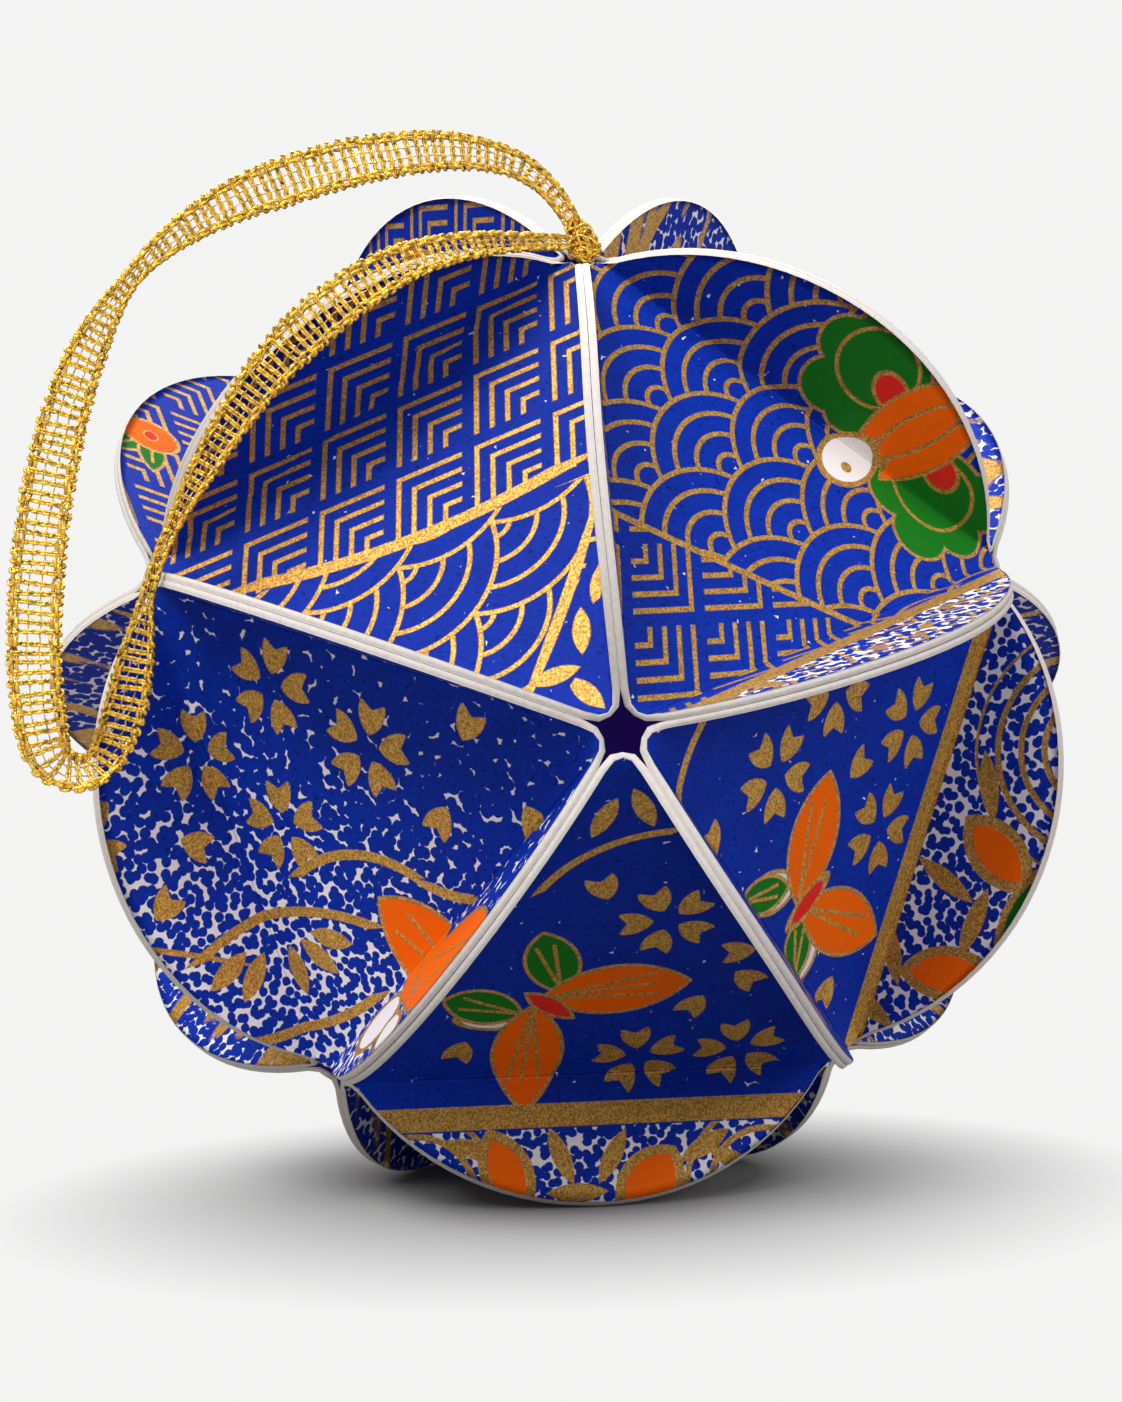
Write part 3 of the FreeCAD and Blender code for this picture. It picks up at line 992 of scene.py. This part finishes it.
# The ribbon's route in millimetres from the corner that it is tied to, its width, and its tilt in degrees
RIBBON_START = CORNERS["upper_front"] + CENTRE
RIBBON_ROUTE = [
    (-0.7, -0.7, 2.0, 1.4, 0),
    (-2.0, -1.5, 4.2, 1.9, 0),
    (-5.2, -2.9, 6.4, 2.6, 0),
    (-10.4, -4.6, 6.9, 3.5, 0),
    (-17.0, -6.1, 5.6, 4.1, 0),
    (-23.8, -7.2, 3.2, 4.0, 5),
    (-30.2, -8.3, 0.0, 2.7, 20),
    (-36.0, -9.2, -4.8, 1.2, 30),
    (-40.0, -9.4, -11.4, 3.2, 15),
    (-42.6, -9.0, -19.4, 4.0, 5),
    (-44.2, -7.9, -28.0, 4.3, 0),
    (-44.8, -6.5, -35.6, 4.3, 0),
    (-44.6, -5.2, -40.6, 4.2, 10),
    (-43.9, -3.9, -44.6, 3.6, 35),
    (-40.4, -2.2, -44.9, 3.6, 35),
    (-38.7, -1.4, -40.5, 3.9, 10),
    (-37.5, -1.8, -35.0, 3.2, 0),
    (-36.5, -2.8, -29.6, 1.0, 0),
    (-34.2, -3.9, -24.5, 1.0, 0),
    (-30.6, -6.0, -18.8, 2.4, 0),
    (-26.4, -8.2, -13.4, 3.4, 0),
    (-21.5, -9.0, -8.7, 4.1, 0),
    (-15.8, -9.2, -4.8, 3.9, 5),
    (-9.8, -6.8, -2.3, 2.8, 10),
    (-4.6, -3.9, -0.9, 1.8, 5),
    (-1.2, -1.3, 0.1, 1.2, 0),
]


def route_line():
    """Closely spaced points along the route's spline, in millimetres, and each one's share of it."""
    curve = bpy.data.curves.new("ribbon_route", "CURVE")
    curve.dimensions = "3D"
    spline = curve.splines.new("NURBS")
    spline.points.add(len(RIBBON_ROUTE) - 1)
    for point, row in zip(spline.points, RIBBON_ROUTE):
        point.co = (*((RIBBON_START + np.array(row[:3])) * MM), 1)
    spline.order_u = 3
    spline.use_endpoint_u = True
    spline.resolution_u = 24
    helper = put("ribbon_route", curve)
    bpy.context.view_layer.update()
    line = bpy.data.meshes.new_from_object(helper.evaluated_get(bpy.context.evaluated_depsgraph_get()))
    points = np.array([vertex.co for vertex in line.vertices]) / MM
    bpy.data.objects.remove(helper)
    bpy.data.meshes.remove(line)
    share = np.linspace(0, len(RIBBON_ROUTE) - 1, len(points))
    return points, share


def smooth(values, passes):
    """Values averaged with their neighbours, the ends held."""
    for _ in range(passes):
        values[1:-1] = (values[:-2] + 2 * values[1:-1] + values[2:]) / 4
    return values


def unit(rows):
    """Each row brought to a length of one."""
    return rows / np.maximum(np.linalg.norm(rows, axis=1), 1e-9)[:, None]


class Strip:
    """The ribbon's middle line and its two directions, looked up by length along it."""

    def __init__(self):
        self.points, share = route_line()
        steps = np.linalg.norm(np.diff(self.points, axis=0), axis=1)
        self.at = np.concatenate([[0], np.cumsum(steps)])
        self.length = self.at[-1]
        along = unit(np.gradient(self.points, self.at, axis=0))
        across = unit(np.cross(along, CAMERA_BACK))
        stops = range(len(RIBBON_ROUTE))
        tilt = smooth(np.interp(share, stops, [row[4] for row in RIBBON_ROUTE]), 60)
        tilt = np.radians(tilt)[:, None]
        self.across = across * np.cos(tilt) + np.cross(across, along) * np.sin(tilt)
        self.face = np.cross(self.across, along)
        self.half = smooth(np.interp(share, stops, [row[3] for row in RIBBON_ROUTE]), 20) / 2

    def look(self, field, length):
        """A field of the line's points at some lengths along it."""
        return np.stack([np.interp(length, self.at, field[:, axis]) for axis in range(3)], 1)

    def place(self, length, side, out):
        """Points at a length along, side from -1 to 1 across, and out in millimetres from the face."""
        length = np.asarray(length, float)
        half = np.interp(length, self.at, self.half)[:, None]
        side = np.asarray(side, float)[:, None]
        out = np.asarray(out, float)[:, None]
        sideways = self.look(self.across, length) * side * half
        outwards = self.look(self.face, length) * out
        return self.look(self.points, length) + sideways + outwards


# A direction off the axes, to set out each thread's sides by
UNUSUAL_WAY = np.array([0.31, 0.12, 0.94])


class Threads:
    """Many thin tubes gathered into one mesh."""

    def __init__(self):
        self.places = []
        self.faces = []

    def add(self, line, radius, sides):
        """A tube along a line of points, its radius one number or one for each point."""
        line = np.asarray(line, float)
        count = len(line)
        radius = np.broadcast_to(np.asarray(radius, float), (count,))
        along = unit(np.gradient(line, axis=0))
        first = unit(np.cross(along, UNUSUAL_WAY))
        second = np.cross(along, first)
        base = len(self.places)
        for place in range(count):
            for side in range(sides):
                turn = 2 * math.pi * side / sides
                spoke = first[place] * math.cos(turn) + second[place] * math.sin(turn)
                self.places.append(line[place] + spoke * radius[place])
        for place in range(count - 1):
            here = base + place * sides
            for side in range(sides):
                after = (side + 1) % sides
                self.faces.append((here + side, here + after, here + sides + after, here + sides + side))
        self.faces.append(tuple(base + side for side in reversed(range(sides))))
        end = base + (count - 1) * sides
        self.faces.append(tuple(end + side for side in range(sides)))

    def mesh(self, name):
        made = bpy.data.meshes.new(name)
        made.from_pydata([tuple(place * MM) for place in self.places], [], self.faces)
        made.polygons.foreach_set("use_smooth", [True] * len(self.faces))
        made.update()
        return made


# The weave: pairs of strands across, a bead at each end, cords along the edges and two inside
strip = Strip()
draw = random.Random(5)
threads = Threads()
PITCH = 0.78
for bar in range(int(strip.length / PITCH)):
    at = (bar + 0.5) * PITCH
    sway = draw.uniform(-0.12, 0.12)
    lean = draw.uniform(-0.16, 0.16)
    for strand in (-0.09, 0.11):
        side = np.linspace(-0.84, 0.84, 11)
        lengths = np.clip(at + sway + strand + lean * side, 0, strip.length)
        out = 0.09 * np.cos(side * 13 + 30 * strand)
        threads.add(strip.place(lengths, side, out), 0.12 + 0.05 * np.sin(side * 21 + bar + 20 * strand), 5)
    for way in (-1, 1):
        turns = np.linspace(-2.4, 2.4, 7)
        loop = draw.uniform(0.16, 0.27)
        lengths = np.clip(at + sway + draw.uniform(-0.1, 0.1) + loop * np.sin(turns), 0, strip.length)
        sides = way * (0.86 + 0.1 * np.cos(turns) + draw.uniform(0, 0.05))
        threads.add(strip.place(lengths, sides, 0.14 * np.sin(turns)), 0.15, 4)
fine = np.linspace(0, strip.length, 620)
for side, radius, phase in ((-0.82, 0.2, 0), (-0.64, 0.16, 2), (0.64, 0.16, 1), (0.82, 0.2, 3)):
    wave = 0.14 * np.cos(fine * math.pi / PITCH + phase)
    wander = side + 0.02 * np.sin(fine * 1.9 + phase)
    threads.add(strip.place(fine, wander, wave), radius * (1 + 0.18 * np.sin(fine * 5.1 + phase)), 5)
for side in (-0.22, 0.24):
    wave = 0.14 * np.sin(fine * math.pi / PITCH)
    threads.add(strip.place(fine, side + 0.03 * np.sin(fine * 1.3), wave), 0.06, 4)

GOLD = thread_shader()
mesh = threads.mesh("ribbon_weave")
mesh.materials.append(GOLD)
ribbon = add_piece("woven_ribbon", mesh, "ribbon_loop")

# The knot over the corner: gathered ribbon wound round itself, in bunches of loops
knot_low, knot_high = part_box("ribbon_knot")
knot = Threads()
middle = np.array([0, knot_low.y + 1.9 * MM, knot_high.z - 1.9 * MM]) / MM
BUNCHES = [
    (20, (0, 0, 0), 1.7),
    (14, (-0.5, 0.1, 1.3), 1.2),
    (14, (0.3, -0.1, -1.0), 1.3),
    (10, (0.9, 0, -0.5), 1.0),
]
for loops, offset, largest in BUNCHES:
    for turn in range(loops):
        tilt = Vector((draw.gauss(0, 1), draw.gauss(0, 1), draw.gauss(0, 0.6))).normalized()
        swing = tilt.orthogonal().normalized()
        other = np.array(tilt.cross(swing))
        swing, tilt = np.array(swing), np.array(tilt)
        size = draw.uniform(0.55, 1) * largest
        folds = draw.choice((2, 3, 4))
        depth = draw.uniform(0.12, 0.36)
        line = []
        for step in range(25):
            angle = 2 * math.pi * step / 24
            reach = size * (1 - depth + depth * math.sin(folds * angle + turn))
            lift = 0.35 * size * math.sin(2 * angle + turn)
            place = (swing * math.cos(angle) + other * math.sin(angle)) * reach + tilt * lift
            line.append(middle + np.array(offset) + place * np.array([0.85, 0.8, 1]))
        knot.add(line, 0.13, 5)
mesh = knot.mesh("knot_weave")
mesh.materials.append(GOLD)
gathered = add_piece("gathered_knot", mesh, "ribbon_knot")


# The camera, at the photograph's place and angle
def add_camera():
    camera = bpy.data.cameras.new("camera")
    camera.sensor_width = 36
    camera.lens = LENS
    camera.clip_start = 0.01
    camera.clip_end = 20
    holder = put("camera", camera)
    right = Vector(CAMERA_RIGHT).normalized()
    back = Vector(CAMERA_BACK).normalized()
    up = back.cross(right).normalized()
    right = up.cross(back)
    turn = Matrix((right, up, back)).transposed().to_4x4()
    holder.matrix_world = Matrix.Translation(Vector(CAMERA_PLACE) * MM) @ turn
    bpy.context.scene.camera = holder


add_camera()


# A pale floor that runs up into the backdrop, in metres. Near the ball more of the dull grey matt floor
# shows: it carries the lamps' real shadow, and its grey also paints a darker disc of shade round the ball
BEND = 0.9
SHADOW_REACH = 0.03
SHADOW_BLEND = 0.025
SHADOW_SHARE = 0.34


def add_stage():
    profile = [(-3.0, 0.0), (BEND, 0.0)]
    for step in range(1, 13):
        turn = math.pi / 2 * step / 12
        profile.append((BEND + BEND * math.sin(turn), BEND - BEND * math.cos(turn)))
    profile.append((2 * BEND, 4.0))
    places = []
    faces = []
    for y, z in profile:
        places += [(-4.0, y, z), (4.0, y, z)]
    for row in range(len(profile) - 1):
        faces.append((2 * row, 2 * row + 1, 2 * row + 3, 2 * row + 2))
    mesh = bpy.data.meshes.new("backdrop")
    mesh.from_pydata(places, [], faces)
    mesh.polygons.foreach_set("use_smooth", [True] * len(faces))
    floor = put("backdrop", mesh)
    material = bpy.data.materials.new("backdrop_paper")
    material.use_nodes = True
    tree = material.node_tree
    tree.nodes.clear()
    # The matt floor is a dull grey: where it shows near the ball it adds painted shade to the real shadow
    matt = tree.nodes.new("ShaderNodeBsdfDiffuse")
    matt.inputs[0].default_value = (0.32, 0.315, 0.31, 1)
    seen = tree.nodes.new("ShaderNodeEmission")
    seen.inputs[0].default_value = (0.905, 0.9, 0.898, 1)
    light = tree.nodes.new("ShaderNodeLightPath")
    rays = Value(light.outputs["Is Camera Ray"]) + Value(light.outputs["Is Glossy Ray"])
    rays = rays + Value(light.outputs["Is Transmission Ray"])
    ground = tree.nodes.new("ShaderNodeNewGeometry")
    split = tree.nodes.new("ShaderNodeSeparateXYZ")
    tree.links.new(ground.outputs["Position"], split.inputs[0])
    away = far(Value(split.outputs[0]), Value(split.outputs[1]))
    # Share of the even bright floor: low near the ball, where the painted shade disc is, rising to one
    # farther out
    painted_shade_fade = ((away - SHADOW_REACH) / SHADOW_BLEND).clamped(1 - SHADOW_SHARE, SHADOW_SHARE)
    share = rays.do("MULTIPLY", painted_shade_fade, clamp=True)
    blend = tree.nodes.new("ShaderNodeMixShader")
    tree.links.new(share.socket, blend.inputs[0])
    tree.links.new(matt.outputs[0], blend.inputs[1])
    tree.links.new(seen.outputs[0], blend.inputs[2])
    output = tree.nodes.new("ShaderNodeOutputMaterial")
    tree.links.new(blend.outputs[0], output.inputs[0])
    mesh.materials.append(material)


add_stage()


def add_light(name, place, aim, size, watts):
    lamp = bpy.data.lights.new(name, "AREA")
    lamp.shape = "DISK"
    lamp.size = size
    lamp.energy = watts
    holder = put(name, lamp)
    holder.location = place
    holder.rotation_euler = (Vector(aim) - Vector(place)).to_track_quat("-Z", "Y").to_euler()


add_light("key", (-0.45, -0.55, 0.75), (0, 0, 0.05), 0.5, 8.6)
add_light("fill", (0.6, -0.7, 0.35), (0, 0, 0.05), 0.6, 2.8)
add_light("top", (0.05, 0.25, 0.9), (0, 0, 0.05), 0.7, 6)

world = bpy.data.worlds.new("room")
bpy.context.scene.world = world
world.use_nodes = True
world.node_tree.nodes["Background"].inputs[0].default_value = (1, 0.995, 0.99, 1)
world.node_tree.nodes["Background"].inputs[1].default_value = 0.38

bpy.context.scene.view_settings.view_transform = "Standard"
